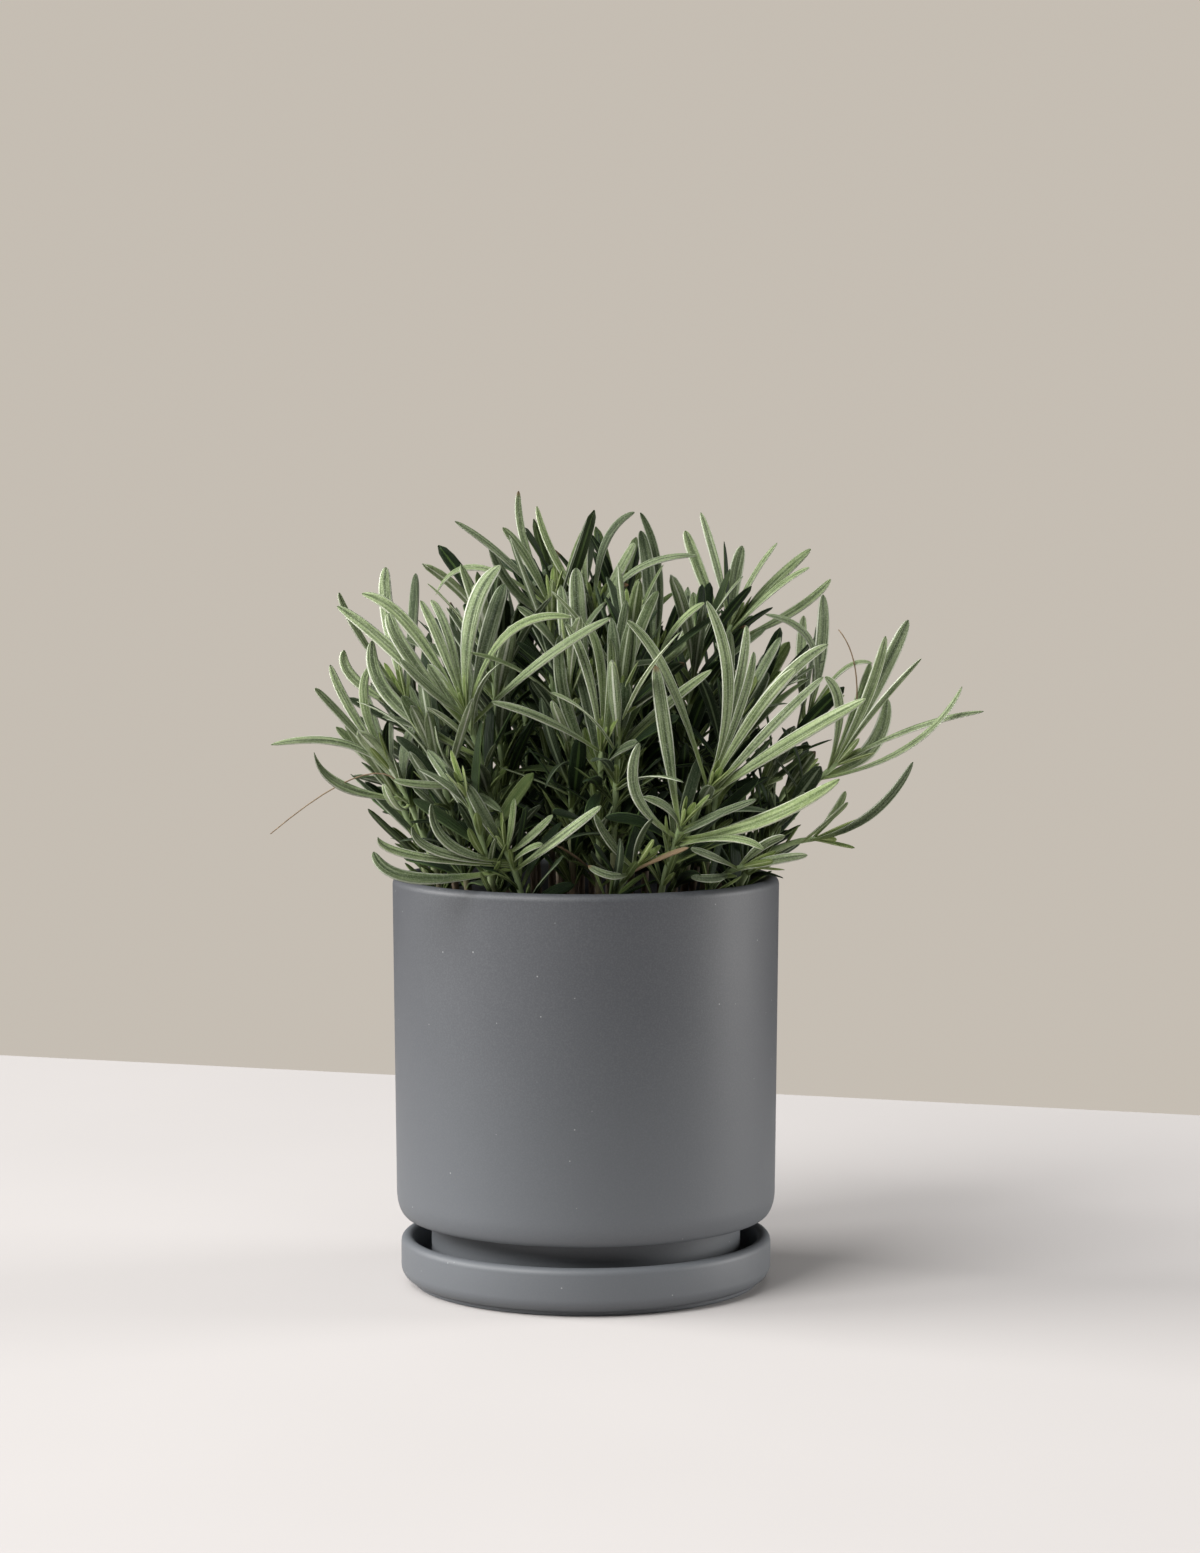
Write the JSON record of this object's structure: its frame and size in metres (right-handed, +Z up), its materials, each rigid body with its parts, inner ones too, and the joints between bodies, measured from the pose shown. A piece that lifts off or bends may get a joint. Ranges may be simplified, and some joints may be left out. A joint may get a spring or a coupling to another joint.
{
  "type": "potted lavender",
  "caption": "Bushy young lavender with narrow grey-green leaves, growing in a matte grey glazed cylinder pot that stands in its own round saucer.",
  "frame": {"origin": "middle of the saucer's underside, on the surface that it stands on", "axes": "+Z up along the pot's axis; -Y towards the front, the side that the lavender shows best"},
  "size_m": [0.228, 0.1533, 0.2602],
  "materials": {
    "glaze": "matte grey glaze",
    "soil": "dark moist potting mix",
    "foliage": "soft grey-green leaf with a pale felt"
  },
  "bodies": {
    "root": {"pot": "glaze", "potting_soil": "soil", "saucer": "glaze", "shoot_01": "foliage", "shoot_02": "foliage", "shoot_03": "foliage", "shoot_04": "foliage", "shoot_05": "foliage", "shoot_06": "foliage", "shoot_07": "foliage", "shoot_08": "foliage", "shoot_09": "foliage", "shoot_10": "foliage", "shoot_11": "foliage", "shoot_12": "foliage", "shoot_13": "foliage", "shoot_14": "foliage", "shoot_15": "foliage", "shoot_16": "foliage", "shoot_17": "foliage", "shoot_18": "foliage", "shoot_19": "foliage", "shoot_20": "foliage", "shoot_21": "foliage", "shoot_22": "foliage", "shoot_23": "foliage", "shoot_24": "foliage", "shoot_25": "foliage", "shoot_26": "foliage", "shoot_27": "foliage", "shoot_centre_front": "foliage", "shoot_centre_left_top": "foliage", "shoot_centre_top": "foliage", "shoot_front_left": "foliage", "shoot_front_middle": "foliage", "shoot_front_right": "foliage", "shoot_left_reach": "foliage", "shoot_left_upper": "foliage", "shoot_low_left": "foliage", "shoot_low_middle": "foliage", "shoot_low_right": "foliage", "shoot_right_back": "foliage", "shoot_right_centre": "foliage", "shoot_right_edge": "foliage", "shoot_right_middle": "foliage", "shoot_right_reach": "foliage", "shoot_right_top": "foliage", "shoot_rim_right": "foliage"}
  },
  "joints": []
}
